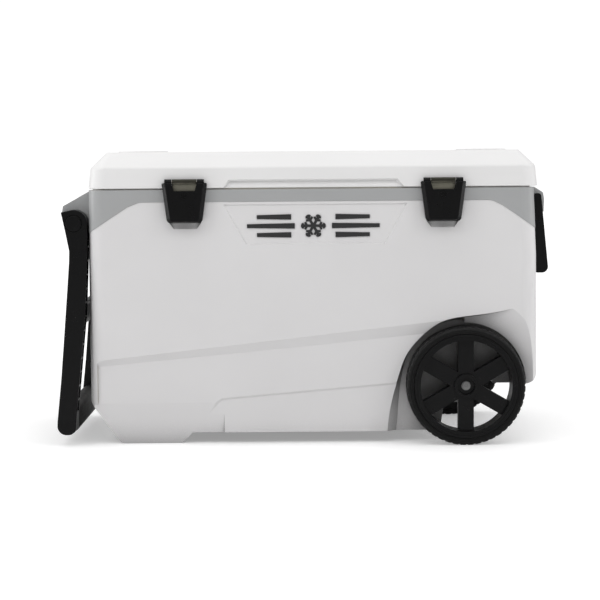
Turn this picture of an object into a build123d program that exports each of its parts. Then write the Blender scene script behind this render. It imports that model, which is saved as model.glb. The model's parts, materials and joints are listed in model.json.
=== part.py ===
from build123d import *

import math
import os

# A large insulated cooler box on two wheels. Millimetres, +Z up, +X towards the wheels,
# -Y towards the latches. The origin is on the floor under the middle of the whole object.

# Every X below is measured from a plane near the middle of the box; the saved parts are
# moved by this much, so that the origin lies under the middle of the whole object.
TO_MIDDLE_X = 3.7

# ---- body ----
BODY_LEFT = -392.0  # end faces where they would meet the floor
BODY_RIGHT = 416.5
BODY_TOP = 460.0
FOOT_HALF = 189.0  # half depth where the drafted front face would meet the floor
DRAFT = 0.0658  # how far each long face leans outward per unit of height
CORNER_R = 26.0
KNEE_Z = 340.0  # above this height the end faces lean in faster
LEFT_LEAN, LEFT_KNEE_LEAN = 0.006, 0.02
RIGHT_LEAN, RIGHT_KNEE_LEAN = 0.012, 0.04
SHELL_WALL = 3.5
FOAM_WALL = 28.0
LINER_WALL = 3.0
FLOOR_Z = 20.0
TAIL_Z = 105.0
TAIL_R = 24.0
RIM_DEPTH = 5.0
BAND_DEPTH = 7.5  # set-back of the lower front under the slanted line
BAND_TOP = [(-376, 154), (-12, 194), (300, 229)]
BAND_LOW = [(-378, 142), (-12, 176), (300, 207)]
STEP_DEPTH = 2.5
TOE_Z = 75.0
TOE_DEPTH = 9.0
EMBLEM_SINK = 2.2
EMBLEM_THICK = 1.6
EMBLEM_X, EMBLEM_Z = 13.0, 395.0
COLLAR_WALL = 2.0
COLLAR_PROUD = 0.8
HOOD_TOP = 459.5

# ---- cavity ----
INNER_A = SHELL_WALL
INNER_B = SHELL_WALL + FOAM_WALL
INNER_C = INNER_B + LINER_WALL
CAVITY_FLOOR = 62.0
STEP_X = 132.0  # the deep part of the cavity ends here, ahead of the axle
STEP_Z = 268.0
DRAIN_X = -300.0
DRAIN_Z = 78.0
DRAIN_R = 11.0
DRAIN_BOSS_R = 27.0
DRAIN_FACE = 197.0

# ---- lid ----
LID_GAP = 2.4
LID_BOTTOM = BODY_TOP + LID_GAP
LID_SKIRT_TOP = 499.0
LID_TOP = 527.0
LID_HALF = 222.0
LID_LEFT = -387.5
LID_RIGHT = 413.0
LID_TAPER = 4.0  # how far each end of the skirt comes in over its height
LID_CHAMFER = 28.0
LID_WALL = 3.5
LID_CORNER_R = 27.0
LID_TOP_R = 12.0
DECK_X = 12.5
DECK_LONG, DECK_WIDE, DECK_SINK = 480.0, 344.0, 2.5
RECESS_DEPTH = 9.0
PLUG_DEPTH = 12.0
PLUG_CLEAR = 3.0
CUP_R = 40.0
CUP_DEPTH = 14.0
CUP_SPOTS = [(-296, -112), (-296, 112), (321, -112), (321, 112)]

# ---- rear hinges ----
HINGE_Y = 231.5
HINGE_Z = 462.0
HINGE_X = [-260, 12, 284]
HINGE_BARREL = 7.0
HINGE_PIN_R = 2.5
HINGE_WIDE = 84.0
SCREW_SPREAD = 26.0
SCREW_R = 2.0
BODY_SCREW_Z = 446.0
LID_SCREW_Z = 482.0

# ---- wheels ----
WHEEL_X = 284.0
WHEEL_Z = 106.0
TYRE_R = 106.0
RIM_R = 93.0
WHEEL_OUT = 228.0
WHEEL_IN = 176.0
WELL_WALL = 165.0
AXLE_R = 6.35
AXLE_FIT = 0.06
NUT_R = 8.2
# Wheel arch in (x, z): at the outer face, and at the wall of the well.
ARCH_OUTER = [(118, 10), (136, 70), (158, 115), (176, 158), (203, 191), (239, 219), (283, 229.5),
              (328, 235), (370, 243), (440, 262)]
ARCH_INNER = [(160, 10), (165, 62), (170, 110), (184, 160), (208, 193), (243, 214), (283, 221.5),
              (328, 226), (370, 231), (440, 244)]
TAIL_NEAR_R = 111.0  # behind the axle the well is a round pocket of this radius
TAIL_FLARE_Y = 184.0  # and outside this depth it opens as a shallow cone
TAIL_FLARE = 2.4  # that widens by this much for every unit of depth
TUNNEL_LEFT, TUNNEL_RIGHT, TUNNEL_TOP = 254.0, 337.0, 118.0
HANGER_HALF, HANGER_IN, HANGER_LOW = 17.0, 122.0, 86.0

# ---- latches ----
LATCH_X = [-214.7, 243.0]
LATCH_Y = -229.5
LATCH_Z = 474.0
LATCH_TOP_HALF = 40.3
LATCH_LOW_HALF = 31.0
LATCH_LOW = 401.0
LATCH_HIGH = 472.0
LATCH_FRONT = -238.5
LATCH_BACK = -224.6
WINDOW_LOW = 457.0
LATCH_SCREW_Z = 449.4
KNUCKLE_R = 4.6
LATCH_PIN_R = 1.8
KEEPER_LOW = 421.0

# ---- handles ----
TOW_X = -415.0
TOW_Z = 401.0
TOW_TURN_R = 24.4  # rounded top of the arms, which clears the body as it turns
TOW_STOP_DEG = 102.5  # direction of the flat that lands on the body at full swing
TOW_IN = 172.0
TOW_OUT = 205.0
TOW_PIN_R = 6.0
GRIP_X = -432.5
GRIP_Z = 43.0
GRIP_WIDE = 28.0
GRIP_HIGH = 50.0
SLEEVE_HALF = 138.0
CROSS_X, CROSS_Z = -414.5, 233.0
CROSS_WIDE, CROSS_HIGH = 19.0, 38.0
CARRY_X = 423.5
CARRY_Z = 441.5
CARRY_IN = 101.0
CARRY_OUT = 119.0
CARRY_PIN_R = 4.0
PIVOT_FIT = 0.06


# ---------------------------------------------------------------- helpers
def front_half(z):
    """Half depth of the drafted long faces at height z."""
    return FOOT_HALF + DRAFT * z


def left_end(z):
    """X of the end face at the handle end, at height z."""
    return BODY_LEFT + LEFT_LEAN * z + LEFT_KNEE_LEAN * max(0.0, z - KNEE_Z)


def right_end(z):
    """X of the end face over the wheels, at height z."""
    return BODY_RIGHT - RIGHT_LEAN * z - RIGHT_KNEE_LEAN * max(0.0, z - KNEE_Z)


def rounded_outline(points):
    """Closed wire through (u, v) or (u, v, radius) corners, the radius ones rounded."""
    corners = [(Vector(p[0], p[1]), p[2] if len(p) > 2 else 0.0) for p in points]
    starts, ends, arcs = [], [], []
    for i, (corner, radius) in enumerate(corners):
        if radius == 0.0:
            starts.append(corner)
            ends.append(corner)
            arcs.append(None)
            continue
        back = (corners[i - 1][0] - corner).normalized()
        ahead = (corners[(i + 1) % len(corners)][0] - corner).normalized()
        half = back.get_angle(ahead) * math.pi / 360
        run = radius / math.tan(half)
        middle = corner + (back + ahead).normalized() * (radius / math.sin(half) - radius)
        starts.append(corner + back * run)
        ends.append(corner + ahead * run)
        arcs.append(middle)
    edges = []
    for i, middle in enumerate(arcs):
        if middle is not None:
            edges.append(Edge.make_three_point_arc(starts[i], middle, ends[i]))
        after = starts[(i + 1) % len(starts)]
        if (after - ends[i]).length > 1e-4:
            edges.append(Edge.make_line(ends[i], after))
    return Wire(edges)


def outline_face(points):
    """Face of a closed outline, facing along local +Z whichever way round it is given."""
    pairs = zip(points, points[1:] + points[:1])
    turn = sum(a[0] * b[1] - b[0] * a[1] for a, b in pairs)
    return Face(rounded_outline(points if turn > 0 else points[::-1]))


def face_at_y(face, y):
    """Stand a face drawn in (x, z) up at a Y position, facing -Y."""
    return Plane.XZ.offset(-y) * face


def prism_xz(points, y_from, y_to):
    """Prism of an (x, z) outline between two Y positions."""
    return extrude(face_at_y(outline_face(points), y_to), amount=y_to - y_from, dir=(0, -1, 0))


def prism_yz(points, x_from, x_to):
    """Prism of a (y, z) outline between two X positions."""
    return extrude(Plane.YZ.offset(x_from) * outline_face(points), amount=x_to - x_from)


def block(x_from, x_to, y_from, y_to, z_from, z_to):
    size = Box(x_to - x_from, y_to - y_from, z_to - z_from)
    return Pos((x_from + x_to) / 2, (y_from + y_to) / 2, (z_from + z_to) / 2) * size


def rod_x(x_from, x_to, y, z, radius):
    return Pos((x_from + x_to) / 2, y, z) * Rot(0, 90, 0) * Cylinder(radius, x_to - x_from)


def rod_y(y_from, y_to, x, z, radius):
    return Pos(x, (y_from + y_to) / 2, z) * Rot(90, 0, 0) * Cylinder(radius, y_to - y_from)


def rod_z(z_from, z_to, x, y, radius):
    return Pos(x, y, (z_from + z_to) / 2) * Cylinder(radius, z_to - z_from)


def ring_rect(x_from, x_to, half, z, radius):
    """Rounded rectangle face at height z."""
    face = RectangleRounded(x_to - x_from, 2 * half, radius)
    return Pos((x_from + x_to) / 2, 0, z) * face


def drafted_block(inset, z_from, z_to, radius):
    """The body's drafted block, every side face moved in by inset."""
    levels = [z_from, KNEE_Z, z_to] if z_from < KNEE_Z < z_to else [z_from, z_to]
    faces = [ring_rect(left_end(z) + inset, right_end(z) - inset, front_half(z) - inset, z, radius)
             for z in levels]
    return loft(faces, ruled=True)


def front_plane(sink=0.0):
    """Plane on the drafted front face: local x is X, local y runs up the face."""
    normal = Vector(0, -1, -DRAFT).normalized()
    origin = Vector(0, -FOOT_HALF, 0) - normal * sink
    return Plane(origin=origin, x_dir=(1, 0, 0), z_dir=normal)


def both_sides(shape):
    """The shape and its mirror image on the rear face."""
    return shape + mirror(shape, about=Plane.XZ)


def rear_copy(shape):
    return mirror(shape, about=Plane.XZ)


def sunk_panel(rim, bed, depth, sink=0.0):
    """Cutter whose rim outline lies on the front face and whose bed lies depth below it."""
    over = 2.0  # how far the cutter stands proud of the face
    grown = [(r[0] + (r[0] - b[0]) * over / depth, r[1] + (r[1] - b[1]) * over / depth)
             for r, b in zip(rim, bed)]
    top = front_plane(sink - over) * outline_face(grown)
    bottom = front_plane(sink + depth) * outline_face(bed)
    return loft([top, bottom], ruled=True)


# ---------------------------------------------------------------- body
def band_cutter(sink):
    """Everything below the slanted character line, moved in behind a sloping facet."""
    rim = BAND_TOP + [(300, -12), (-379, -12)]
    bed = BAND_LOW + [(300, -10), (-378, -10)]
    return sunk_panel(rim, bed, BAND_DEPTH, sink)


def step_cutter(sink):
    """The lower panel under the second line, a little further in."""
    rim = [(-163, 77), (-155, 82.5), (-13, 95), (300, 121), (300, -12), (-222, -12), (-186, 50)]
    bed = [(-160, 74), (-153, 79), (-13, 91), (300, 117), (300, -10), (-216, -10), (-183, 48)]
    return sunk_panel(rim, bed, STEP_DEPTH, sink + BAND_DEPTH)


def toe_cutter(sink):
    """The wedge that leans the lowest part of the front inward."""
    low = front_half(0) - BAND_DEPTH - TOE_DEPTH - sink
    high = front_half(TOE_Z) - BAND_DEPTH - sink
    wedge = [(-high, TOE_Z), (-low, 0), (-low, -20), (-260, -20), (-260, TOE_Z)]
    return prism_yz(wedge, -420, -150)


def emblem_panel_cutter(sink):
    """Shallow trapezoid that the emblem sits in."""
    rim = [(-147, 434), (180, 434), (140, 362), (-107, 362)]
    bed = [(-144.5, 432.5), (177.5, 432.5), (139, 363.5), (-106, 363.5)]
    return sunk_panel(rim, bed, EMBLEM_SINK, sink)


def arch_face(points, y):
    """One XZ section of the wheel well: a smooth arch closed below and behind."""
    arch = Edge.make_spline([Vector(x, 0, z) for x, z in points])
    first, last = Vector(points[0][0], 0, points[0][1]), Vector(points[-1][0], 0, points[-1][1])
    low_right, low_left = Vector(last.X, 0, -15), Vector(first.X, 0, -15)
    sides = [Edge.make_line(last, low_right), Edge.make_line(low_right, low_left),
             Edge.make_line(low_left, first)]
    return Pos(0, y, 0) * Face(Wire([arch] + sides))


def wheel_well(grow):
    """Front wheel well: the arch narrows inward, and flares out as a cone behind the axle."""
    mouth = [(x - grow, z + grow) for x, z in ARCH_OUTER]
    bed = [(x - grow, z + grow) for x, z in ARCH_INNER]
    well = loft([arch_face(mouth, -204), arch_face(bed, -WELL_WALL + grow)], ruled=True) + loft(
        [arch_face(mouth, -204), arch_face([(x - 2, z) for x, z in mouth], -250)], ruled=True)
    near = TAIL_NEAR_R + grow
    long = 260 - TAIL_FLARE_Y + grow
    cone = Cone(near, near + TAIL_FLARE * long, long)
    flare = Pos(WHEEL_X, -260 + long / 2, WHEEL_Z) * Rot(90, 0, 0) * cone
    pocket = rod_y(-TAIL_FLARE_Y + grow, -WELL_WALL + grow, WHEEL_X, WHEEL_Z, near)
    ahead = block(0, WHEEL_X, -260, -100, -30, 300)
    return well & (ahead + flare + pocket)


def axle_tunnel(grow):
    """Open passage across the underside that the axle runs through."""
    g = grow
    return prism_xz([(TUNNEL_LEFT - 1.5 - g, 95), (TUNNEL_LEFT + 1 - g, TUNNEL_TOP + g, 4),
                     (TUNNEL_RIGHT - 1 + g, TUNNEL_TOP + g, 4), (TUNNEL_RIGHT + 1 + g, 95)],
                    -WELL_WALL - 5, WELL_WALL + 5)


def axle_hangers():
    """Two solid cheeks under the tunnel roof that hold the axle."""
    cheek = block(WHEEL_X - HANGER_HALF, WHEEL_X + HANGER_HALF, -WELL_WALL, -HANGER_IN,
                  HANGER_LOW, TUNNEL_TOP + 2)
    low_edges = cheek.edges().filter_by(Axis.Y).sort_by(Axis.Z)[:2]
    return both_sides(fillet(low_edges, 12))


def side_outline(inset):
    """Body outline seen from the front, every edge moved in by inset."""
    i = inset
    right = right_end(TAIL_Z) + 0.3 - i
    return [(-400, BODY_TOP + 5), (-400, 95 + i), (-390 + i, 76 + i * 0.4, 14),
            (-338 + i * 0.6, i, 14), (-227 - i * 0.4, i, 8), (-208 - i * 0.4, FLOOR_Z + i, 8),
            (TUNNEL_LEFT - 13 - i, FLOOR_Z + i, 6), (TUNNEL_LEFT - i, TAIL_Z + i, 2),
            (right, TAIL_Z + i, TAIL_R - i * 0.4), (right, BODY_TOP + 5)]


def scoop_cutter(x, grow):
    """Finger scoop in the front face under a latch."""
    g = grow
    roll = rod_x(x - 40, x + 40, -front_half(404) - 17, 404.5, 23 + g)
    mask = [(x - 31 - g, 425), (x + 31 + g, 425), (x + 29 + g, 402 - g, 8), (x + 17 + g, 386 - g, 6),
            (x - 17 - g, 386 - g, 6), (x - 29 - g, 402 - g, 8)]
    return roll & prism_xz(mask, -260, -190)


def carve(blank, inset):
    """Cut the outer features into a drafted blank, moved in by inset."""
    blank = blank & prism_xz(side_outline(inset), -300, 300)
    blank -= both_sides(wheel_well(inset))
    blank -= axle_tunnel(inset)
    blank -= both_sides(band_cutter(inset))
    blank -= both_sides(step_cutter(inset))
    blank -= both_sides(toe_cutter(inset))
    for x in LATCH_X:
        blank -= scoop_cutter(x, inset)
    return blank


def collar_region():
    """XZ region of the trim ring: a thin band in front and deeper wings at the ends."""
    return prism_xz([(-470, BODY_TOP), (470, BODY_TOP), (470, 345.5), (350, 428, 12), (330, 438, 30),
                     (-296, 438, 30), (-318, 429, 12), (-470, 330.5)], -300, 300)


def cavity_block(inset, floor_z, step_z, step_x, top_z, radius):
    """Stepped inner volume: deep at the handle end, shallow over the wheels."""
    deep = drafted_block(inset, floor_z, top_z, radius)
    keep_left = block(-500, step_x, -300, 300, floor_z - 1, top_z + 1)
    shallow = block(step_x - 1, 500, -300, 300, step_z, top_z + 1)
    return deep & (keep_left + shallow)


def shell_inside():
    return carve(drafted_block(INNER_A, -20, BODY_TOP, CORNER_R - INNER_A), INNER_A)


def liner_outside():
    return cavity_block(INNER_B, CAVITY_FLOOR - LINER_WALL, STEP_Z - LINER_WALL, STEP_X + LINER_WALL,
                        BODY_TOP, 24)


def liner_inside():
    return cavity_block(INNER_C, CAVITY_FLOOR, STEP_Z, STEP_X, BODY_TOP + 10, 22)


def make_body():
    """Outer shell, foam, liner and trim ring."""
    outer = carve(drafted_block(0, -20, BODY_TOP, CORNER_R), 0)
    outer -= emblem_panel_cutter(0)
    boss = rod_y(160, DRAIN_FACE, DRAIN_X, DRAIN_Z, DRAIN_BOSS_R)
    outer += boss
    inside = shell_inside()
    drain_hole = rod_y(120, 240, DRAIN_X, DRAIN_Z, DRAIN_R + 2)
    region = collar_region()
    proud = drafted_block(-COLLAR_PROUD, 300, BODY_TOP, CORNER_R + COLLAR_PROUD)
    behind = drafted_block(COLLAR_WALL, 300, BODY_TOP + 1, CORNER_R - COLLAR_WALL)
    collar = (proud & region) - behind
    shell = outer - inside - (region - behind)
    shell += axle_hangers()
    shell -= rod_y(-240, 240, WHEEL_X, WHEEL_Z, AXLE_R)
    shell -= drain_hole
    liner_core = liner_outside()
    rim_top = LID_BOTTOM - 0.3
    rim = drafted_block(SHELL_WALL + COLLAR_WALL + 1, BODY_TOP - RIM_DEPTH, rim_top, 18)
    cavity = liner_inside()
    liner = (liner_core + rim) - cavity - drain_hole
    foam = inside - liner_core - rim - drain_hole
    foam -= block(-500, 500, -300, 300, BODY_TOP - 0.05, BODY_TOP + 20)
    for hole in screw_shanks(BODY_SCREW_Z, front_half(BODY_SCREW_Z) - SHELL_WALL + 0.2, 240):
        shell -= hole
        collar -= hole
    return shell, foam, liner, collar


def tow_hood():
    """Hood on the handle end of the trim ring that carries the tow handle's pivots."""
    half = TOW_IN - 1.5
    body = prism_xz([(left_end(HOOD_TOP), HOOD_TOP), (-437.5, 431.5, 3.5), (-439.3, 421, 4),
                     (-437, 396, 12), (-420, 378, 12), (left_end(366), 366)], -half, half)
    hollow = prism_xz([(-380, 449), (-404, 444, 4), (-432, 427.5, 3), (-433, 350), (-380, 350)],
                      -half + 26, half - 26)
    keep = block(left_end(KNEE_Z) - 2.5, -360, -300, 300, 300, 500)
    hood = body - (hollow - keep)
    return hood - rod_y(-half - 5, half + 5, TOW_X, TOW_Z, TOW_PIN_R)


def carry_hood():
    """Smaller hood on the wheel end, between the arms of the carry handle."""
    half = CARRY_IN - 1.5
    body = prism_xz([(right_end(HOOD_TOP), HOOD_TOP), (420.5, 459), (437, 448.5, 6), (438.8, 437, 4),
                     (438, 414, 3), (431, 405, 4), (right_end(396), 396)], -half, half)
    hollow = prism_xz([(400, 450), (419, 450, 3), (434.3, 436, 4), (434.3, 380), (400, 380)],
                      -half + 18, half - 18)
    keep = block(380, right_end(KNEE_Z) + 0.5, -300, 300, 300, 500)
    hood = body - (hollow - keep)
    return hood - rod_y(-half - 5, half + 5, CARRY_X, CARRY_Z, CARRY_PIN_R)


# ---------------------------------------------------------------- emblem
def snowflake(radius, width):
    """Plain six-armed snow crystal."""
    flake = RegularPolygon(width * 1.2, 6)
    for i in range(6):
        arm = Pos(radius / 2, 0) * Rectangle(radius, width)
        for at, length in ((0.5, 0.34), (0.78, 0.24)):
            for side in (1, -1):
                twig = Pos(radius * length / 2, 0) * Rectangle(radius * length, width * 0.8)
                arm += Pos(radius * at, 0) * Rot(0, 0, 60 * side) * twig
        flake += Rot(0, 0, 60 * i) * arm
    return flake


def make_emblem():
    """Snow crystal between two tapered bars, on the bed of the emblem panel."""
    flat = Pos(EMBLEM_X, EMBLEM_Z) * snowflake(22, 4.6)
    for side in (1, -1):
        for row in (-16, 0, 16):
            near, far = 33 + abs(row) * 0.4, 118 - abs(row) * 1.1
            bar = outline_face([(near, row - 4.8), (far, row - 3.4), (far, row + 3.4),
                                (near, row + 4.8)])
            if side < 0:
                bar = mirror(bar, about=Plane.YZ)
            flat += Pos(EMBLEM_X, EMBLEM_Z) * bar
    plane = front_plane(EMBLEM_SINK)
    return extrude(plane * flat, amount=EMBLEM_THICK, dir=plane.z_dir)


# ---------------------------------------------------------------- lid
def lid_ring(inset, z, radius, half):
    """Outline of the lid at height z; the ends of the skirt come in as it rises."""
    taper = LID_TAPER * (z - LID_BOTTOM) / (LID_SKIRT_TOP - LID_BOTTOM)
    return ring_rect(LID_LEFT + inset + taper, LID_RIGHT - inset - taper, half, z, radius)


def lid_block(inset, bottom, skirt_top, top, top_inset):
    """Lid volume: a skirt, then a broad chamfer all round."""
    half, radius = LID_HALF - inset, LID_CORNER_R - inset
    low = lid_ring(inset, bottom, radius, half)
    mid = lid_ring(inset, skirt_top, radius, half)
    end_inset = inset + top_inset - LID_TAPER * (top - skirt_top) / (LID_SKIRT_TOP - LID_BOTTOM)
    high = lid_ring(end_inset, top, LID_TOP_R, half - top_inset)
    return loft([low, mid], ruled=True) + loft([mid, high], ruled=True)


def grip_recess(grow):
    """Finger recess along the front lower edge of the lid."""
    g = grow
    mouth = [(-153 - g, 455), (183 + g, 455), (164 + g, 478.5 + g), (-138 - g, 478.5 + g)]
    bed = [(-147 - g, 455), (177 + g, 455), (160 + g, 474 + g), (-134 - g, 474 + g)]
    front = face_at_y(outline_face(mouth), -LID_HALF - 4 + g)
    back = face_at_y(outline_face(bed), -LID_HALF + RECESS_DEPTH + g)
    wedge = prism_yz([(-LID_HALF - 6, 450), (-LID_HALF + 2 + g, 450),
                      (-LID_HALF + RECESS_DEPTH + g, 474), (-LID_HALF + RECESS_DEPTH + g, 490),
                      (-LID_HALF - 6, 490)], -200, 230)
    return loft([front, back], ruled=True) & wedge


def ruler_ticks():
    """Raised ticks of a measuring scale, without figures."""
    ticks = []
    for i in range(33):
        length = 22 if i % 4 == 0 else 12
        x = -192 + i * 12.7
        ticks.append(block(x - 0.6, x + 0.6, -166, -166 + length, LID_TOP - 0.5, LID_TOP + 0.8))
    return ticks


def make_lid():
    """Outer shell, foam and underside pan of the lid."""
    outer = lid_block(0, LID_BOTTOM, LID_SKIRT_TOP, LID_TOP, LID_CHAMFER)
    outer = fillet(outer.edges().filter_by_position(Axis.Z, LID_SKIRT_TOP - 1, LID_SKIRT_TOP + 1), 6)
    outer = fillet(outer.edges().filter_by_position(Axis.Z, LID_TOP - 0.1, LID_TOP + 0.1), 4)
    outer = fillet(outer.edges().filter_by_position(Axis.Z, LID_BOTTOM - 0.1, LID_BOTTOM + 0.1), 1.5)
    inside = lid_block(LID_WALL, LID_BOTTOM - 1, LID_SKIRT_TOP - 2, LID_TOP - LID_WALL, LID_CHAMFER - 1)
    deck = Pos(DECK_X, 0, LID_TOP - DECK_SINK) * RectangleRounded(DECK_LONG, DECK_WIDE, 14)
    outer -= extrude(deck, amount=10)
    under = DECK_LONG / 2 + LID_WALL + 3
    inside -= block(DECK_X - under, DECK_X + under, -200, 200, LID_TOP - DECK_SINK - LID_WALL, LID_TOP)
    for x, y in CUP_SPOTS:
        outer += rod_z(LID_TOP - 1, LID_TOP + 2.0, x, y, CUP_R + 5)
        outer -= rod_z(LID_TOP - CUP_DEPTH, LID_TOP + 5, x, y, CUP_R)
        inside -= rod_z(LID_TOP - CUP_DEPTH - LID_WALL, LID_TOP + 5, x, y, CUP_R + LID_WALL)
    outer -= grip_recess(0)
    inside -= grip_recess(LID_WALL)
    for tick in ruler_ticks():
        outer += Pos(0, 0, -DECK_SINK) * tick
    plug_out = drafted_block(INNER_C + PLUG_CLEAR, BODY_TOP - PLUG_DEPTH, LID_BOTTOM + 3, 19)
    plug_in = drafted_block(INNER_C + PLUG_CLEAR + 3, BODY_TOP - PLUG_DEPTH + 3, LID_BOTTOM + 4, 16)
    flange = lid_block(LID_WALL + 0.05, LID_BOTTOM, LID_BOTTOM + 3, LID_BOTTOM + 3.2, 0.2) & block(
        -600, 600, -300, 300, LID_BOTTOM, LID_BOTTOM + 3)
    pan = (flange + plug_out) - plug_in
    pan -= grip_recess(LID_WALL)
    shell = outer - inside
    foam = inside & block(-600, 600, -300, 300, LID_BOTTOM + 3, LID_TOP)
    foam += plug_in & block(-600, 600, -300, 300, BODY_TOP - PLUG_DEPTH + 3, LID_BOTTOM + 3)
    for hole in screw_shanks(LID_SCREW_Z, LID_HALF - LID_WALL + 0.2, 240):
        shell -= hole
    return shell, foam, pan


# ---------------------------------------------------------------- rear hinges
def screw_shanks(z, from_y, to_y):
    """Shanks of the hinge screws at one height, two to each leaf."""
    return [rod_y(from_y, to_y, x + side * SCREW_SPREAD, z, SCREW_R)
            for x in HINGE_X for side in (-1, 1)]


def screws(z, head_y, tip_y):
    """Pan-head screws: a low head outside the leaf and the shank behind it."""
    shanks = screw_shanks(z, tip_y, head_y)
    spots = [(x + side * SCREW_SPREAD) for x in HINGE_X for side in (-1, 1)]
    return [shank + rod_y(head_y, head_y + 1.9, x, z, 4.5) for shank, x in zip(shanks, spots)]


def make_hinges():
    """Body leaves, lid leaves, pins and screws of the three rear hinges."""
    body_leaves, lid_leaves, pins = [], [], []
    third = HINGE_WIDE / 3
    low_in, high_in = front_half(424) + 0.9, front_half(452) + 0.9
    for x in HINGE_X:
        left, right = x - HINGE_WIDE / 2, x + HINGE_WIDE / 2
        leaf = prism_yz([(low_in, 424), (low_in + 3, 424), (high_in + 3.4, 452),
                         (HINGE_Y + 3, 456), (HINGE_Y + 3, HINGE_Z), (HINGE_Y - 4, HINGE_Z),
                         (high_in, 452)], left, right)
        barrel = rod_x(left, right, HINGE_Y, HINGE_Z, HINGE_BARREL)
        gap = block(x - third / 2 - 0.4, x + third / 2 + 0.4, HINGE_Y - HINGE_BARREL - 0.5,
                    HINGE_Y + 9, 453.5, 470)
        bore = rod_x(left - 1, right + 1, HINGE_Y, HINGE_Z, HINGE_PIN_R + PIVOT_FIT)
        clear_lid = block(left - 1, right + 1, 200, LID_HALF + 0.3, LID_BOTTOM - 1, 480)
        body_leaves.append(leaf + barrel - gap - bore - clear_lid)
        plate = prism_yz([(LID_HALF + 0.1, 466), (LID_HALF + 0.1, 493), (LID_HALF + 3, 493),
                          (LID_HALF + 3, 470), (HINGE_Y + 2, 467), (HINGE_Y + 2, HINGE_Z),
                          (HINGE_Y - 4, HINGE_Z)], left, right)
        clear_y = HINGE_Y - HINGE_BARREL - 0.5
        plate -= block(left - 1, x - third / 2 + 0.4, clear_y, HINGE_Y + 9, 450, 470)
        plate -= block(x + third / 2 - 0.4, right + 1, clear_y, HINGE_Y + 9, 450, 470)
        knuckle = rod_x(x - third / 2 + 0.4, x + third / 2 - 0.4, HINGE_Y, HINGE_Z, HINGE_BARREL)
        lid_leaves.append(plate + knuckle - bore)
        pins.append(rod_x(left - 1.5, right + 1.5, HINGE_Y, HINGE_Z, HINGE_PIN_R))
    body_holes = screw_shanks(BODY_SCREW_Z, 200, 240)
    lid_holes = screw_shanks(LID_SCREW_Z, 200, 240)
    for i in range(len(HINGE_X)):
        body_leaves[i] -= body_holes[2 * i] + body_holes[2 * i + 1]
        lid_leaves[i] -= lid_holes[2 * i] + lid_holes[2 * i + 1]
    head_y = front_half(BODY_SCREW_Z) + 4.6
    body_screws = screws(BODY_SCREW_Z, head_y, front_half(BODY_SCREW_Z) - SHELL_WALL + 0.3)
    lid_screws = screws(LID_SCREW_Z, LID_HALF + 3, LID_HALF - LID_WALL + 0.3)
    return body_leaves, lid_leaves, pins, body_screws, lid_screws


# ---------------------------------------------------------------- latches
def latch_outline(x, side, top, bottom, radius):
    """Tapered flap outline, moved in at its sides, top and bottom."""
    return [(x - LATCH_TOP_HALF + side, LATCH_HIGH - top, radius),
            (x - LATCH_LOW_HALF + side, LATCH_LOW + bottom, radius + 5),
            (x + LATCH_LOW_HALF - side, LATCH_LOW + bottom, radius + 5),
            (x + LATCH_TOP_HALF - side, LATCH_HIGH - top, radius)]


def latch_flap(x):
    """Black flap: bevelled sides, a window over the plate, a hook behind the lower edge."""
    shoulder = -232.5
    rear = prism_xz(latch_outline(x, 0, 0, 0, 2.5), shoulder, LATCH_BACK)
    outer = face_at_y(outline_face(latch_outline(x, 0, 0, 0, 2.5)), shoulder)
    inner = face_at_y(outline_face(latch_outline(x, 6.2, 0.8, 2.5, 2.5)), LATCH_FRONT)
    flap = rear + loft([outer, inner], ruled=True)
    flap -= prism_xz(latch_outline(x, 4.2, -4, 4, 0.5), -236.2, LATCH_BACK + 1)
    window = prism_xz([(x - 22.5, 480), (x + 22.5, 480), (x + 22.5, 471), (x + 18.2, WINDOW_LOW, 1),
                       (x - 18.2, WINDOW_LOW, 1), (x - 22.5, 471)], -245, -220)
    flap -= window
    for side in (-1, 1):
        low, high = sorted((x + side * 22.6, x + side * 35))
        lug = rod_x(low, high, LATCH_Y, LATCH_Z, KNUCKLE_R)
        web = block(low, high, -237.5, LATCH_Y + 1.5, 466, LATCH_Z)
        flap += lug + (web - block(low - 1, high + 1, -240, -234.1, LATCH_HIGH, 480))
    hook = prism_yz([(-237, KEEPER_LOW - 0.8), (-222.8, KEEPER_LOW - 0.8), (-221.8, KEEPER_LOW - 2.2),
                     (-222.8, KEEPER_LOW - 5), (-237, KEEPER_LOW - 9)], x - 13, x + 13)
    flap += hook
    flap -= rod_y(-245, -236.8, x, LATCH_SCREW_Z, 5.8)
    flap += rod_y(-236.8, -233.4, x, LATCH_SCREW_Z, 7)
    flap -= rod_y(-245, -230, x, LATCH_SCREW_Z, 2.2)
    return flap - rod_x(x - 40, x + 40, LATCH_Y, LATCH_Z, LATCH_PIN_R + PIVOT_FIT)


def latch_plate(x):
    """Steel hinge plate on the lid, with the middle knuckle."""
    high = LATCH_Z + KNUCKLE_R
    plate = block(x - 21.5, x + 21.5, -LID_HALF - 2.0, -LID_HALF, WINDOW_LOW + 0.5, high)
    ledge = block(x - 21.5, x + 21.5, LATCH_Y, -LID_HALF, high - 2, high)
    knuckle = rod_x(x - 21.5, x + 21.5, LATCH_Y, LATCH_Z, KNUCKLE_R)
    lip = block(x - 21, x + 21, -LID_HALF - 3.6, -LID_HALF - 2.0, 468, 470)
    return plate + ledge + knuckle + lip - rod_x(x - 40, x + 40, LATCH_Y, LATCH_Z, LATCH_PIN_R)


def latch_screw(x):
    """Cross-head screw in the flap's round recess."""
    head = rod_y(-238.4, -236.85, x, LATCH_SCREW_Z, 5.0)
    for angle in (45, -45):
        slot = Rot(0, angle, 0) * Box(6.4, 2.4, 1.2)
        head -= Pos(x, -238.4, LATCH_SCREW_Z) * slot
    return head + rod_y(-236.9, -226, x, LATCH_SCREW_Z, 2.1)


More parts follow.
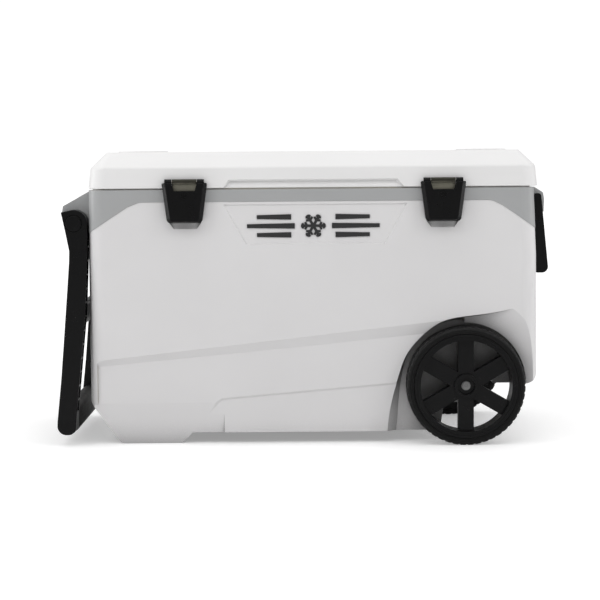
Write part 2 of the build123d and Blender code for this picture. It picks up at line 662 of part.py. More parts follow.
def latch_keeper(x):
    """Ledge on the body that the flap's hook closes under."""
    inner_low, inner_high = -front_half(KEEPER_LOW), -front_half(435)
    return prism_yz([(inner_low, KEEPER_LOW), (-224.6, KEEPER_LOW), (-226, 424, 1), (-224, 432),
                     (inner_high, 435)], x - 15, x + 15)


# ---------------------------------------------------------------- tow handle
def tow_arm_outline():
    """Arm profile: round top with a stop flat, long tapering leg, round foot."""
    stop = math.radians(TOW_STOP_DEG)
    flat_in = Vector(TOW_X + TOW_TURN_R * math.cos(stop), TOW_Z + TOW_TURN_R * math.sin(stop))
    tip = flat_in + Vector(-math.sin(stop), math.cos(stop)) * 17.5
    crown = math.radians(TOW_STOP_DEG / 2)
    top_mid = Vector(TOW_X + TOW_TURN_R * math.cos(crown), TOW_Z + TOW_TURN_R * math.sin(crown))
    side = Vector(TOW_X + TOW_TURN_R, TOW_Z)
    leg = [(side.X, side.Y), (-391.2, 348), (-396.3, 240), (-411.5, 89), (-418, 20.5, 13),
           (-450.5, 20.5, 16), (-449.5, 45), (-441.5, 121), (-428, 282), (-424, 333), (-423.5, 352),
           (-430, 386), (tip.X, tip.Y), (flat_in.X, flat_in.Y)]
    crown_arc = Edge.make_three_point_arc(flat_in, top_mid, side)
    chord = rounded_outline(leg)
    straight = [e for e in chord.edges() if (e.center() - (flat_in + side) / 2).length > 0.5]
    return Face(Wire(straight + [crown_arc]))


def tow_arm(rear):
    """One arm: a channel open towards the body, crossed by ribs."""
    face = tow_arm_outline()
    arm = extrude(face_at_y(face, -TOW_IN), amount=TOW_OUT - TOW_IN, dir=(0, -1, 0))
    arm = fillet(arm.faces().sort_by(Axis.Y)[0].edges(), 1.6)
    pocket = prism_xz([(-380, 370), (-418, 370), (-419, 333), (-423, 282), (-436.5, 121),
                       (-443.5, 62), (-380, 62)], -TOW_OUT + 4, -TOW_IN - 3.5)
    for i in range(12):
        z = 84 + i * 25
        pocket -= block(-460, -370, -TOW_OUT, -TOW_IN, z - 1.1, z + 1.1)
    arm -= pocket
    arm -= rod_y(-TOW_OUT + 6, -TOW_IN + 2, TOW_X, TOW_Z, TOW_PIN_R + PIVOT_FIT)
    arm -= rod_y(-TOW_OUT - 1, -TOW_OUT + 2.5, TOW_X, TOW_Z, 15.6)
    return rear_copy(arm) if rear else arm


def tow_cap(rear):
    """Round cover over the pivot."""
    cap = rod_y(-TOW_OUT - 1.2, -TOW_OUT + 2.5, TOW_X, TOW_Z, 14.0)
    cap = fillet(cap.faces().sort_by(Axis.Y)[0].edges(), 1.0)
    return rear_copy(cap) if rear else cap


def tow_pin(rear):
    """Pivot pin pressed into the hood; the arm turns on it."""
    pin = rod_y(-TOW_OUT + 6.5, -TOW_IN + 26, TOW_X, TOW_Z, TOW_PIN_R)
    return rear_copy(pin) if rear else pin


def grip_section(inset):
    size = (GRIP_WIDE - 2 * inset, GRIP_HIGH - 2 * inset)
    return Pos(GRIP_X, GRIP_Z) * RectangleRounded(size[0], size[1], 12.5 - inset)


def cross_bar(section, half):
    """Bar of an (x, z) section, running the same way to both sides."""
    return extrude(face_at_y(section, half), amount=2 * half, dir=(0, -1, 0))


def make_tow_bars():
    """Crossbar, grip bar and soft grip sleeve."""
    cross = cross_bar(Pos(CROSS_X, CROSS_Z) * RectangleRounded(CROSS_WIDE, CROSS_HIGH, 5), TOW_IN)
    core = cross_bar(grip_section(2.2), SLEEVE_HALF)
    groove = cross_bar(grip_section(-5), SLEEVE_HALF) - core
    sleeve = cross_bar(grip_section(-0.8), SLEEVE_HALF) - core
    return cross, cross_bar(grip_section(0), TOW_IN) - groove, sleeve


# ---------------------------------------------------------------- carry handle
def make_carry_handle():
    """Swing handle on the wheel end: two arms and a grip in one moulding, and its pins."""
    arm = prism_xz([(417.4, 447.6, 5.4), (430.9, 447.6, 5.4), (444.9, 301.8, 11), (420.4, 301.8, 4)],
                   -CARRY_OUT, -CARRY_IN)
    arm = fillet(arm.faces().sort_by(Axis.Y)[0].edges(), 1.5)
    grip = prism_xz([(420.2, 336, 9), (441.2, 336, 9), (444.4, 302.3, 10.5), (420.8, 302.3, 5)],
                    -CARRY_IN, CARRY_IN)
    handle = both_sides(arm) + grip
    handle -= rod_y(-CARRY_OUT + 4, CARRY_OUT - 4, CARRY_X, CARRY_Z, CARRY_PIN_R + PIVOT_FIT)
    pins = [rod_y(-CARRY_OUT + 4.5, -CARRY_IN + 18, CARRY_X, CARRY_Z, CARRY_PIN_R)]
    pins.append(rear_copy(pins[0]))
    return handle, pins


# ---------------------------------------------------------------- wheels
def ring_y(y_from, y_to, outer, inner):
    return rod_y(y_from, y_to, WHEEL_X, WHEEL_Z, outer) - rod_y(
        y_from - 1, y_to + 1, WHEEL_X, WHEEL_Z, inner)


def make_tyre():
    """Solid tyre with rounded shoulders."""
    tyre = ring_y(-WHEEL_OUT + 1, -WHEEL_IN, TYRE_R, RIM_R)
    outer_edges = tyre.edges().filter_by(lambda e: abs(e.radius - TYRE_R) < 0.1 if
                                         e.geom_type == GeomType.CIRCLE else False)
    return fillet(outer_edges, 4.5)


def make_rim():
    """Moulded rim: barrel, web of six flat spokes with ribs behind, and hub."""
    barrel = ring_y(-WHEEL_OUT, -WHEEL_IN - 1, RIM_R, 82)
    barrel -= ring_y(-WHEEL_OUT - 1, -WHEEL_OUT + 2.0, 89, 80)
    hub = ring_y(-WHEEL_OUT + 8, -WELL_WALL - 3, 19, 5)
    collar_ring = ring_y(-WHEEL_OUT + 5, -WHEEL_OUT + 20, 21, 16)
    rim = barrel + hub + collar_ring
    for i in range(6):
        spoke = block(-14, 14, -WHEEL_OUT + 12, -WHEEL_OUT + 16.5, 17, 84)
        rib = block(-13, -10, -WHEEL_OUT + 16, -WHEEL_IN - 10, 17, 84)
        ribs = rib + block(10, 13, -WHEEL_OUT + 16, -WHEEL_IN - 10, 17, 84)
        rim += Pos(WHEEL_X, 0, WHEEL_Z) * Rot(0, 60 * i, 0) * (spoke + ribs)
    rim -= rod_y(-WHEEL_OUT - 1, -WHEEL_OUT + 14, WHEEL_X, WHEEL_Z, 16)
    return rim - rod_y(-260, -100, WHEEL_X, WHEEL_Z, AXLE_R + AXLE_FIT)


def make_washer():
    return ring_y(-WELL_WALL - 2.7, -WELL_WALL - 0.1, 15, AXLE_R)


def make_push_nut():
    """Domed push nut on the end of the axle."""
    nut = ring_y(-WHEEL_OUT + 11.4, -WHEEL_OUT + 13.9, NUT_R, AXLE_R)
    dome = rod_y(-WHEEL_OUT + 8.5, -WHEEL_OUT + 11.6, WHEEL_X, WHEEL_Z, NUT_R - 1)
    dome -= rod_y(-WHEEL_OUT + 8, -WHEEL_OUT + 9.2, WHEEL_X, WHEEL_Z, 2.5)
    return nut + (dome - rod_y(-WHEEL_OUT + 10, -WHEEL_OUT + 12, WHEEL_X, WHEEL_Z, AXLE_R))


def make_axle():
    half = WHEEL_OUT - 10
    return rod_y(-half, half, WHEEL_X, WHEEL_Z, AXLE_R)


# ---------------------------------------------------------------- drain
def make_drain():
    """Drain spout through the wall, its gasket, and the screw cap."""
    flange_r = 15.5
    inner_end = front_half(DRAIN_Z - flange_r) - INNER_C - 2.3
    spout = rod_y(inner_end, DRAIN_FACE + 14, DRAIN_X, DRAIN_Z, DRAIN_R + 1.9)
    spout += rod_y(DRAIN_FACE + 0.05, DRAIN_FACE + 3, DRAIN_X, DRAIN_Z, 21)
    spout += rod_y(inner_end, inner_end + 2.2, DRAIN_X, DRAIN_Z, flange_r)
    spout -= rod_y(inner_end - 1, DRAIN_FACE + 20, DRAIN_X, DRAIN_Z, DRAIN_R - 1)
    gasket = rod_y(DRAIN_FACE + 14.05, DRAIN_FACE + 15.6, DRAIN_X, DRAIN_Z, DRAIN_R + 1.8)
    gasket -= rod_y(DRAIN_FACE + 13, DRAIN_FACE + 17, DRAIN_X, DRAIN_Z, DRAIN_R - 1)
    cap = rod_y(DRAIN_FACE + 3.4, DRAIN_FACE + 20, DRAIN_X, DRAIN_Z, 19)
    cap = fillet(cap.faces().sort_by(Axis.Y)[-1].edges(), 2)
    cap -= rod_y(DRAIN_FACE + 3, DRAIN_FACE + 15.9, DRAIN_X, DRAIN_Z, DRAIN_R + 2.0)
    cap += block(DRAIN_X - 15, DRAIN_X + 15, DRAIN_FACE + 19.5, DRAIN_FACE + 28, DRAIN_Z - 3, DRAIN_Z + 3)
    for i in range(12):
        a = math.radians(30 * i + 15)
        at = (DRAIN_X + 20 * math.cos(a), DRAIN_Z + 20 * math.sin(a))
        cap -= rod_y(DRAIN_FACE + 3, DRAIN_FACE + 17, at[0], at[1], 2.6)
    return spout, gasket, cap


# ---------------------------------------------------------------- write the parts
def solids_of(shape):
    """Every solid of a shape, a list of shapes or a boolean result."""
    items = shape if isinstance(shape, (list, tuple)) else [shape]
    return [s for item in items for s in item.solids()]


def save(name, shape):
    solids = solids_of(shape)
    solids = [Pos(TO_MIDDLE_X, 0, 0) * s for s in solids]
    keep = solids[0] if len(solids) == 1 else Compound(children=solids)
    export_step(keep, f"parts/{name}.step")


def main():
    os.makedirs("parts", exist_ok=True)
    shell, foam, liner, collar = make_body()
    save("outer_shell", shell)
    save("body_foam", foam)
    save("inner_liner", liner)
    save("collar", collar + tow_hood() + carry_hood())
    save("emblem", make_emblem())
    lid_shell, lid_foam, lid_pan = make_lid()
    save("lid_outer", lid_shell)
    save("lid_foam", lid_foam)
    save("lid_liner", lid_pan)
    body_leaves, lid_leaves, pins, body_screws, lid_screws = make_hinges()
    save("hinge_body_leaves", body_leaves)
    save("hinge_lid_leaves", lid_leaves)
    save("hinge_pins", pins)
    save("hinge_body_screws", body_screws)
    save("hinge_lid_screws", lid_screws)
    for side, x in zip(("left", "right"), LATCH_X):
        save(f"latch_flap_{side}", latch_flap(x))
        save(f"latch_plate_{side}", latch_plate(x))
        save(f"latch_pin_{side}", rod_x(x - 35.5, x + 35.5, LATCH_Y, LATCH_Z, LATCH_PIN_R))
        save(f"latch_screw_{side}", latch_screw(x))
        save(f"latch_keeper_{side}", latch_keeper(x))
    for side, rear in (("front", False), ("rear", True)):
        save(f"tow_arm_{side}", tow_arm(rear))
        save(f"tow_cap_{side}", tow_cap(rear))
        save(f"tow_pin_{side}", tow_pin(rear))
    cross, bar, sleeve = make_tow_bars()
    save("tow_crossbar", cross)
    save("tow_grip_bar", bar)
    save("tow_grip_sleeve", sleeve)
    handle, carry_pins = make_carry_handle()
    save("carry_handle", handle)
    save("carry_pins", carry_pins)
    wheel_parts = {"tyre": make_tyre(), "rim": make_rim(), "washer": make_washer(),
                   "push_nut": make_push_nut()}
    for name, shape in wheel_parts.items():
        save(f"{name}_front", shape)
        save(f"{name}_rear", rear_copy(shape))
    save("axle", make_axle())
    spout, gasket, cap = make_drain()
    save("drain_spout", spout)
    save("drain_gasket", gasket)
    save("drain_cap", cap)


main()
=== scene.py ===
import json
import math

import bmesh
import bpy
from mathutils import Matrix, Vector


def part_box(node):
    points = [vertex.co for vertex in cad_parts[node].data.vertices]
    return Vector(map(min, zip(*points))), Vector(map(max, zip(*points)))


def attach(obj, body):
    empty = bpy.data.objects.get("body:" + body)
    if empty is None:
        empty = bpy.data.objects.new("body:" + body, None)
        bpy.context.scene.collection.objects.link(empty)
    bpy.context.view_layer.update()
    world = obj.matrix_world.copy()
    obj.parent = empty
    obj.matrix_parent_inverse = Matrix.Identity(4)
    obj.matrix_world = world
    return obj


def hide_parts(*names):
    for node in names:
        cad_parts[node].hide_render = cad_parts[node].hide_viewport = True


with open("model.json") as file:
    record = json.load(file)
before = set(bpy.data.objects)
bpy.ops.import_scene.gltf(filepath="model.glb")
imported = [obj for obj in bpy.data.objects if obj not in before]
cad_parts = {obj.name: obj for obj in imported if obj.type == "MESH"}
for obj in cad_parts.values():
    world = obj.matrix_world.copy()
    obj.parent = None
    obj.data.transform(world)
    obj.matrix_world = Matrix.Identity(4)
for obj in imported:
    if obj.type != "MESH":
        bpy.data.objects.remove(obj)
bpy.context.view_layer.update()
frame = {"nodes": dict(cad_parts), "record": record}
nodes = frame["nodes"]
MM = 0.001


# ---------------------------------------------------------------- camera, light and floor
CAMERA_BACK = 3.422
CAMERA_HIGH = 0.497
CAMERA_SIDE = -0.0081
CAMERA_PITCH = math.radians(4.19)
CAMERA_ROLL = math.radians(0.45)
CAMERA_LENS = 108.2
SKY_HORIZON = 0.2
SKY_TOP = 1.0
BACKDROP = 1.05
FLOOR_SIZE = 60
FLOOR_GLOW = (0.30, 0.60, 0.7, 1.8)  # glow near and far, and the distances where it starts and ends
SENSOR_WIDE = 36.0


def make_camera():
    """Long lens straight at the front, slightly above and slightly rolled."""
    data = bpy.data.cameras.new("camera")
    data.lens = CAMERA_LENS
    data.sensor_width = SENSOR_WIDE
    camera = bpy.data.objects.new("camera", data)
    right = Vector((math.cos(CAMERA_ROLL), 0, -math.sin(CAMERA_ROLL)))
    up = Vector((math.sin(CAMERA_ROLL), 0, math.cos(CAMERA_ROLL)))
    pitch = Matrix.Rotation(-CAMERA_PITCH, 3, "X")
    right, up = pitch @ right, pitch @ up
    turn = Matrix((right, up, right.cross(up))).transposed().to_4x4()
    camera.matrix_world = Matrix.Translation((CAMERA_SIDE, -CAMERA_BACK, CAMERA_HIGH)) @ turn
    bpy.context.scene.collection.objects.link(camera)
    bpy.context.scene.camera = camera


def area_light(name, place, aim, size, power):
    """Rectangular soft box at a place, turned to face its aim."""
    data = bpy.data.lights.new(name, "AREA")
    data.shape = "RECTANGLE"
    data.size, data.size_y = size
    data.energy = power
    light = bpy.data.objects.new(name, data)
    light.location = place
    light.rotation_euler = (Vector(aim) - Vector(place)).to_track_quat("-Z", "Y").to_euler()
    bpy.context.scene.collection.objects.link(light)


def world_node(tree, kind, **values):
    """Node with input values, where an underscore in a name stands for a space."""
    node = tree.nodes.new(kind)
    for name, value in values.items():
        node.inputs[name.replace("_", " ")].default_value = value
    return node


def make_world():
    """Soft surround, brighter overhead than at the horizon, seen as plain white behind the object."""
    world = bpy.data.worlds.new("studio")
    world.use_nodes = True
    tree = world.node_tree
    background = tree.nodes["Background"]
    background.inputs["Color"].default_value = (1, 1, 1, 1)
    direction = world_node(tree, "ShaderNodeTexCoord")
    split = world_node(tree, "ShaderNodeSeparateXYZ")
    height = world_node(tree, "ShaderNodeMapRange", To_Min=SKY_HORIZON, To_Max=SKY_TOP)
    path = world_node(tree, "ShaderNodeLightPath")
    shown = world_node(tree, "ShaderNodeMapRange", To_Max=BACKDROP)
    tree.links.new(direction.outputs["Generated"], split.inputs["Vector"])
    tree.links.new(split.outputs["Z"], height.inputs["Value"])
    tree.links.new(height.outputs["Result"], shown.inputs["To Min"])
    tree.links.new(path.outputs["Is Camera Ray"], shown.inputs["Value"])
    tree.links.new(shown.outputs["Result"], background.inputs["Strength"])
    bpy.context.scene.world = world


def make_light():
    """Soft boxes at both sides, in front and overhead, under a soft surround."""
    area_light("left_softbox", (-2.3, -1.9, 1.9), (0, 0, 0.25), (0.9, 1.4), 14)
    area_light("right_softbox", (2.3, -1.9, 1.9), (0, 0, 0.25), (0.9, 1.4), 12)
    area_light("top_softbox", (0.0, 0.1, 2.7), (0, 0, 0), (3.6, 2.6), 9.5)
    area_light("front_softbox", (0, -2.6, 2.6), (0, 0, 0.25), (2.0, 1.2), 13.4)
    area_light("left_strip", (-2.6, -0.1, 0.7), (0, -0.1, 0.3), (0.6, 1.4), 13)
    area_light("right_strip", (2.6, -0.1, 0.7), (0, -0.1, 0.3), (0.6, 1.4), 8)
    make_world()
    bpy.context.scene.view_settings.view_transform = "Standard"


def make_floor():
    """Pale floor that catches the shadows and glows, to the camera only, more strongly further out."""
    bpy.ops.mesh.primitive_plane_add(size=FLOOR_SIZE)
    floor = bpy.context.object
    floor.name = "floor"
    material, tree, shader = new_material("floor", (0.85, 0.85, 0.85), 0.6, specular=0.2)
    shader.inputs["Emission Color"].default_value = (1, 1, 1, 1)
    place = tree.nodes.new("ShaderNodeTexCoord")
    distance = tree.nodes.new("ShaderNodeVectorMath")
    distance.operation = "LENGTH"
    tree.links.new(place.outputs["Object"], distance.inputs[0])
    glow = spread(tree, distance.outputs["Value"], *FLOOR_GLOW)
    path = tree.nodes.new("ShaderNodeLightPath")
    shown = tree.nodes.new("ShaderNodeMath")
    shown.operation = "MULTIPLY"
    tree.links.new(glow, shown.inputs[0])
    tree.links.new(path.outputs["Is Camera Ray"], shown.inputs[1])
    tree.links.new(shown.outputs[0], shader.inputs["Emission Strength"])
    floor.data.materials.append(material)


# ---------------------------------------------------------------- materials
EDGE_RADIUS = 0.0009
EDGE_SAMPLES = 4
# Painted shade: ambient occlusion darkens the base colour in seams and hollows.
PAINTED_SHADE_REACH = 0.09
PAINTED_SHADE_SAMPLES = 8
PAINTED_SHADE_RANGE = (0.12, 0.62)  # open share of the surroundings at which the painted shade ends and starts
KNUCKLE_HIGH = 0.0068  # rolled top of a latch plate
KNUCKLE_SHARE = 0.16  # what the darkening leaves of its colour
KNUCKLE_BLEND = 0.0003
WAVE_SCALE, WAVE_HIGH = 14, 0.0012
GRAIN_HIGH = 0.00012
PATCH_SCALE = 38
SCRATCH_SCALE, SCRATCH_STRENGTH, SCRATCH_HIGH = 90, 0.3, 0.00005
SMUDGE_SCALE, SMUDGE_SHARE = 60, 0.86


def new_material(name, color, roughness, metallic=0.0, specular=0.5):
    """Node material with constant values on its shader: the material, its tree and the shader."""
    material = bpy.data.materials.new(name)
    material.use_nodes = True
    shader = material.node_tree.nodes["Principled BSDF"]
    shader.inputs["Base Color"].default_value = (*color, 1)
    shader.inputs["Roughness"].default_value = roughness
    shader.inputs["Metallic"].default_value = metallic
    shader.inputs["Specular IOR Level"].default_value = specular
    return material, material.node_tree, shader


def noise(tree, scale, detail=2.0, rough=0.5, stretch=(1, 1, 1)):
    """Noise in the object's own metres, optionally stretched along an axis."""
    place = tree.nodes.new("ShaderNodeTexCoord")
    mapping = tree.nodes.new("ShaderNodeMapping")
    mapping.inputs["Scale"].default_value = stretch
    texture = tree.nodes.new("ShaderNodeTexNoise")
    texture.inputs["Scale"].default_value = scale
    texture.inputs["Detail"].default_value = detail
    texture.inputs["Roughness"].default_value = rough
    tree.links.new(place.outputs["Object"], mapping.inputs["Vector"])
    tree.links.new(mapping.outputs["Vector"], texture.inputs["Vector"])
    return texture.outputs["Fac"]


def spread(tree, value, low, high, source_low=0.3, source_high=0.7):
    """Map a value from its source range to low and high."""
    node = tree.nodes.new("ShaderNodeMapRange")
    node.inputs["From Min"].default_value = source_low
    node.inputs["From Max"].default_value = source_high
    node.inputs["To Min"].default_value = low
    node.inputs["To Max"].default_value = high
    tree.links.new(value, node.inputs["Value"])
    return node.outputs["Result"]


def tint(tree, value, dark, light):
    """Colour between two close tones."""
    ramp = tree.nodes.new("ShaderNodeValToRGB")
    ramp.color_ramp.elements[0].color = (*dark, 1)
    ramp.color_ramp.elements[0].position = 0.35
    ramp.color_ramp.elements[1].color = (*light, 1)
    ramp.color_ramp.elements[1].position = 0.65
    tree.links.new(value, ramp.inputs["Fac"])
    return ramp.outputs["Color"]


def bump(tree, shader, layers):
    """Rounded edges, then a chain of bump layers: (height output, strength, distance in metres)."""
    rounded = tree.nodes.new("ShaderNodeBevel")
    rounded.samples = EDGE_SAMPLES
    rounded.inputs["Radius"].default_value = EDGE_RADIUS
    last = rounded.outputs["Normal"]
    for height, strength, distance in layers:
        node = tree.nodes.new("ShaderNodeBump")
        node.inputs["Strength"].default_value = strength
        node.inputs["Distance"].default_value = distance
        tree.links.new(height, node.inputs["Height"])
        tree.links.new(last, node.inputs["Normal"])
        last = node.outputs["Normal"]
    tree.links.new(last, shader.inputs["Normal"])


def dimmed(tree, color, share):
    """A colour multiplied by a share of 0 to 1."""
    scaled = tree.nodes.new("ShaderNodeVectorMath")
    scaled.operation = "SCALE"
    tree.links.new(color, scaled.inputs[0])
    tree.links.new(share, scaled.inputs["Scale"])
    return scaled.outputs["Vector"]


def painted_hollow_shade(tree, color, painted_shade_darkest):
    """Painted shade: darken a colour in seams and hollows, where shadow falls."""
    nearby = tree.nodes.new("ShaderNodeAmbientOcclusion")
    nearby.samples = PAINTED_SHADE_SAMPLES
    nearby.inputs["Distance"].default_value = PAINTED_SHADE_REACH
    share = spread(tree, nearby.outputs["AO"], painted_shade_darkest, 1.0, *PAINTED_SHADE_RANGE)
    return dimmed(tree, color, share)


def moulded(name, color, roughness, grain=900.0, depth=0.5, shade=0.03, specular=0.5, painted_shade_darkest=None,
            flow=0.25):
    """Moulded plastic: fine spark-eroded grain, faint flow mottling, uneven gloss, and painted shade in
    hollows when a darkest share is given.
    """
    material, tree, shader = new_material(name, color, roughness, specular=specular)
    dark = tuple(c * (1 - shade) for c in color)
    light = tuple(min(1, c * (1 + shade)) for c in color)
    tone = tint(tree, noise(tree, 5, 3), dark, light)
    # painted shade in seams and hollows
    if painted_shade_darkest is not None:
        tone = painted_hollow_shade(tree, tone, painted_shade_darkest)
    tree.links.new(tone, shader.inputs["Base Color"])
    patchy = noise(tree, PATCH_SCALE, 4, 0.6)
    tree.links.new(spread(tree, patchy, roughness - 0.04, roughness + 0.05), shader.inputs["Roughness"])
    fine = noise(tree, grain, 2, 0.6)
    wave = noise(tree, WAVE_SCALE, 2)
    bump(tree, shader, [(wave, flow, WAVE_HIGH), (fine, depth, GRAIN_HIGH)])
    return material


def brushed(name, color, roughness, knuckle=None):
    """Brushed steel: fine scratches along one axis, darker above a knuckle's height if one is given."""
    material, tree, shader = new_material(name, color, roughness, metallic=1.0)
    lines = noise(tree, SCRATCH_SCALE, 3, 0.6, (1, 40, 40))
    tree.links.new(spread(tree, lines, roughness - 0.1, roughness + 0.12), shader.inputs["Roughness"])
    smudge = noise(tree, SMUDGE_SCALE, 3)
    dark = tuple(c * SMUDGE_SHARE for c in color)
    tone = tint(tree, smudge, dark, color)
    if knuckle is not None:
        place = tree.nodes.new("ShaderNodeTexCoord")
        axes = tree.nodes.new("ShaderNodeSeparateXYZ")
        tree.links.new(place.outputs["Object"], axes.inputs["Vector"])
        share = spread(tree, axes.outputs["Z"], 1.0, KNUCKLE_SHARE,
                       knuckle - KNUCKLE_BLEND, knuckle + KNUCKLE_BLEND)
        tone = dimmed(tree, tone, share)
    tree.links.new(tone, shader.inputs["Base Color"])
    bump(tree, shader, [(lines, SCRATCH_STRENGTH, SCRATCH_HIGH)])
    return material


def make_materials():
    """All materials by name, which are the record's slots and the finishes of single nodes."""
    plate_top = max(v.co.z for v in nodes["latch_plate_left"].data.vertices)
    return {
        # The white shell carries painted shade in its seams, hollows and wheel wells.
        "shell_white": moulded("shell_white", (0.715, 0.706, 0.710), 0.45, depth=0.55, shade=0.012,
                               painted_shade_darkest=0.19),
        "lid_white": moulded("lid_white", (0.80, 0.795, 0.793), 0.42, depth=0.45, shade=0.012),
        "liner_white": moulded("liner_white", (0.80, 0.80, 0.79), 0.34, grain=400, depth=0.1, shade=0.01,
                               flow=0.03),
        "trim_grey": moulded("trim_grey", (0.37, 0.375, 0.378), 0.40, depth=0.5, shade=0.02),
        "hinge_grey": moulded("hinge_grey", (0.37, 0.375, 0.378), 0.42, depth=0.5, shade=0.02),
        "foam_cream": moulded("foam_cream", (0.78, 0.70, 0.48), 0.85, grain=350, depth=0.9, shade=0.06),
        "black_plastic": moulded("black_plastic", (0.0022, 0.0022, 0.0024), 0.30, grain=1100, depth=0.3,
                                 shade=0.12, specular=0.18),
        "emblem_black": moulded("emblem_black", (0.012, 0.012, 0.0125), 0.35, grain=900, depth=0.2),
        "steel": brushed("steel", (0.50, 0.48, 0.44), 0.32),
        "latch_steel": brushed("latch_steel", (0.27, 0.26, 0.21), 0.36,
                               knuckle=plate_top - KNUCKLE_HIGH),
        "black_steel": brushed("black_steel", (0.018, 0.018, 0.018), 0.34),
        "nut_steel": brushed("nut_steel", (0.20, 0.20, 0.20), 0.30),
        "tyre_black": moulded("tyre_black", (0.0042, 0.0042, 0.0042), 0.42, grain=700, depth=0.6, shade=0.2,
                              specular=0.2),
        "grip_rubber": moulded("grip_rubber", (0.008, 0.0075, 0.007), 0.55, grain=1200, depth=0.8, shade=0.2,
                               specular=0.3),
        "gasket_rubber": moulded("gasket_rubber", (0.03, 0.03, 0.03), 0.6, grain=900, depth=0.4),
        "nylon": moulded("nylon", (0.66, 0.65, 0.60), 0.38, grain=700, depth=0.2),
    }


# Nodes whose steel is darker than the rest of its slot.
NODE_FINISH = {
    "latch_plate_left": "latch_steel", "latch_plate_right": "latch_steel",
    "latch_screw_left": "black_steel", "latch_screw_right": "black_steel",
    "push_nut_front": "nut_steel", "push_nut_rear": "nut_steel",
}


def dress_nodes(materials):
    """Give every CAD node its own finish or else its slot's material."""
    for entry in frame["record"]["subparts"]:
        node = nodes[entry["node"]]
        node.data.materials.clear()
        node.data.materials.append(materials[NODE_FINISH.get(entry["node"], entry["material_slot"])])


# ---------------------------------------------------------------- mesh helpers
def new_piece(name, mesh, body, material_slot, stands_for):
    """Object of a finished mesh that rides on a CAD body and replaces the node it stands for."""
    piece = bpy.data.objects.new(name, mesh)
    bpy.context.scene.collection.objects.link(piece)
    mesh.materials.append(materials[material_slot])
    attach(piece, body)
    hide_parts(stands_for)


def smooth_faces(mesh, sharp_degrees):
    """Smooth faces, with creases kept where they turn by more than this."""
    built = bmesh.new()
    built.from_mesh(mesh)
    bmesh.ops.recalc_face_normals(built, faces=built.faces)
    limit = math.radians(sharp_degrees)
    for face in built.faces:
        face.smooth = True
    for edge in built.edges:
        edge.smooth = len(edge.link_faces) == 2 and edge.calc_face_angle(0) < limit
    built.to_mesh(mesh)
    built.free()


def rings_mesh(name, rings, capped=False):
    """Mesh skinned over closed rings of points, each ring joined to the next."""
    mesh = bpy.data.meshes.new(name)
    count = len(rings[0])
    points = [p for ring in rings for p in ring]
    faces = []
    for j in range(len(rings) - 1):
        for i in range(count):
            after = (i + 1) % count
            faces.append((j * count + i, j * count + after, (j + 1) * count + after, (j + 1) * count + i))
    if capped:
        faces.append(tuple(range(count)))
        faces.append(tuple(range((len(rings) - 1) * count, len(rings) * count)))
    mesh.from_pydata(points, [], faces)
    return mesh


# ---------------------------------------------------------------- tyres
TYRE_OUT = 227.0  # outer and inner side faces, out from the middle of the axle, in mm
TYRE_IN = 176.0
# Half of the tyre's section: (distance in from the side face, radius, whether the lugs cut it).
TYRE_HALF = [(4.0, 93.05, 0), (0.9, 93.4, 0), (0.2, 94.3, 0), (0.2, 95.6, 0), (0.9, 95.9, 0), (0.9, 96.5, 0),
             (0.15, 96.8, 0), (0.1, 98.7, 0), (0.7, 99.0, 0), (0.7, 99.6, 0), (0.1, 99.9, 0), (0.3, 101.6, 0),
             (1.2, 103.6, 0.4), (2.7, 105.2, 1), (4.6, 105.95, 1), (9.0, 106.0, 1), (13.6, 106.0, 1),
             (14.4, 105.9, 0), (15.2, 104.5, 0), (17.6, 104.5, 0), (18.4, 106.0, 0), (22.0, 106.0, 0)]
LUGS = 48
LUG_STEPS = 8  # points round the tyre for each lug, and how many of them lie in the groove
GROOVE_STEPS = 2
LUG_GROOVE = 1.1


def make_tyre(side_name, side):
    """Solid tyre: ringed sidewalls, a plain centre rib and shallow lugs at both shoulders."""
    box_low, box_high = (Vector(corner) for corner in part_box(f"tyre_{side_name}"))
    middle = (box_low + box_high) / 2
    width = TYRE_OUT - TYRE_IN
    far = [(width - inward, radius, lug) for inward, radius, lug in reversed(TYRE_HALF)]
    section = TYRE_HALF + far
    steps = LUGS * LUG_STEPS
    rings = []
    for inward, radius, lug in section:
        shift = 0 if inward < width / 2 else LUG_STEPS // 2
        ring = []
        for i in range(steps):
            cut = (i + shift) % LUG_STEPS < GROOVE_STEPS
            r = (radius - (LUG_GROOVE * lug if cut else 0)) * MM
            angle = 2 * math.pi * i / steps
            ring.append((middle.x + r * math.cos(angle), side * (TYRE_OUT - inward) * MM,
                         middle.z + r * math.sin(angle)))
        rings.append(ring)
    mesh = rings_mesh(f"tyre_{side_name}_treaded", rings + [rings[0]])
    smooth_faces(mesh, 40)
    new_piece(mesh.name, mesh, f"wheel_{side_name}", "tyre_black", f"tyre_{side_name}")


# ---------------------------------------------------------------- grip sleeve
SLEEVE_CORNER = 13.0
SLEEVE_PITCH = 0.7
# Heights, above the floor, of the two ribbed bands and of the plain joint lines.
SLEEVE_RIBS = [(27.0, 36.0), (43.5, 50.5)]
SLEEVE_LINES = [24.8, 38.2, 41.6, 52.6]
RIB_PITCH = 1.8
RIB_DEEP = 0.7
LINE_HALF = 0.5
CORNER_STEPS = 14
# The rolled end: (distance in from the end face, how far the surface is drawn in).
SLEEVE_END = [(0.0, 2.6), (0.3, 1.3), (1.2, 0.3), (2.6, 0.0)]


def sleeve_cut(z):
    """How deep the sleeve's surface lies under its outline at a height in mm."""
    for low, high in SLEEVE_RIBS:
        if low <= z <= high:
            return RIB_DEEP / 2 * (1 + math.cos(2 * math.pi * (z - low) / RIB_PITCH))
    return RIB_DEEP if any(abs(z - line) < LINE_HALF for line in SLEEVE_LINES) else 0.0


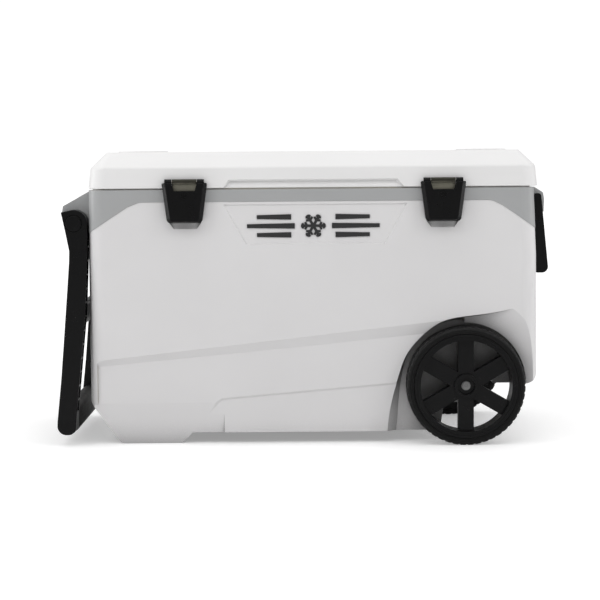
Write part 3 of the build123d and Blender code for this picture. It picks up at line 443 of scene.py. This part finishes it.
def rounded_section(half_x, half_z, radius, pitch):
    """Points round a rounded rectangle, no further apart on its sides than about the pitch, each with
    its outward direction."""
    out = []
    for quarter in range(4):
        start = quarter * math.pi / 2
        corner_x = (half_x - radius) * (1 if quarter in (0, 3) else -1)
        corner_z = (half_z - radius) * (1 if quarter in (0, 1) else -1)
        for i in range(CORNER_STEPS + 1):
            angle = start + math.pi / 2 * i / CORNER_STEPS
            ahead = (math.cos(angle), math.sin(angle))
            out.append(((corner_x + radius * ahead[0], corner_z + radius * ahead[1]), ahead))
        run = 2 * ((half_x - radius) if quarter in (0, 2) else (half_z - radius))
        direction = (-math.sin(start + math.pi / 2), math.cos(start + math.pi / 2))
        ahead = (math.cos(start + math.pi / 2), math.sin(start + math.pi / 2))
        begin = out[-1][0]
        steps = max(1, int(run / pitch))
        for i in range(1, steps):
            out.append(((begin[0] + direction[0] * run * i / steps,
                         begin[1] + direction[1] * run * i / steps), ahead))
    return out


def make_sleeve():
    """Soft sleeve of the tow grip, with ribbed bands along its length and rolled ends."""
    low, high = (Vector(corner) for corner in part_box("tow_grip_sleeve"))
    middle = (low + high) / 2
    half_x, half_z = (high.x - low.x) / 2 / MM, (high.z - low.z) / 2 / MM
    section = rounded_section(half_x, half_z, SLEEVE_CORNER, SLEEVE_PITCH)
    stations = [(low.y + run * MM, drop) for run, drop in SLEEVE_END]
    stations += [(high.y - run * MM, drop) for run, drop in reversed(SLEEVE_END)]
    rings = []
    for y, drop in stations:
        ring = []
        for (x, z), ahead in section:
            sink = drop + sleeve_cut(middle.z / MM + z)
            ring.append((middle.x + (x - ahead[0] * sink) * MM, y, middle.z + (z - ahead[1] * sink) * MM))
        rings.append(ring)
    mesh = rings_mesh("tow_grip_sleeve_ribbed", rings, capped=True)
    smooth_faces(mesh, 50)
    new_piece("tow_grip_sleeve_ribbed", mesh, "tow_handle", "grip_rubber", "tow_grip_sleeve")


make_camera()
make_light()
make_floor()
materials = make_materials()
dress_nodes(materials)
for wheel_name, wheel_side in (("front", -1), ("rear", 1)):
    make_tyre(wheel_name, wheel_side)
make_sleeve()
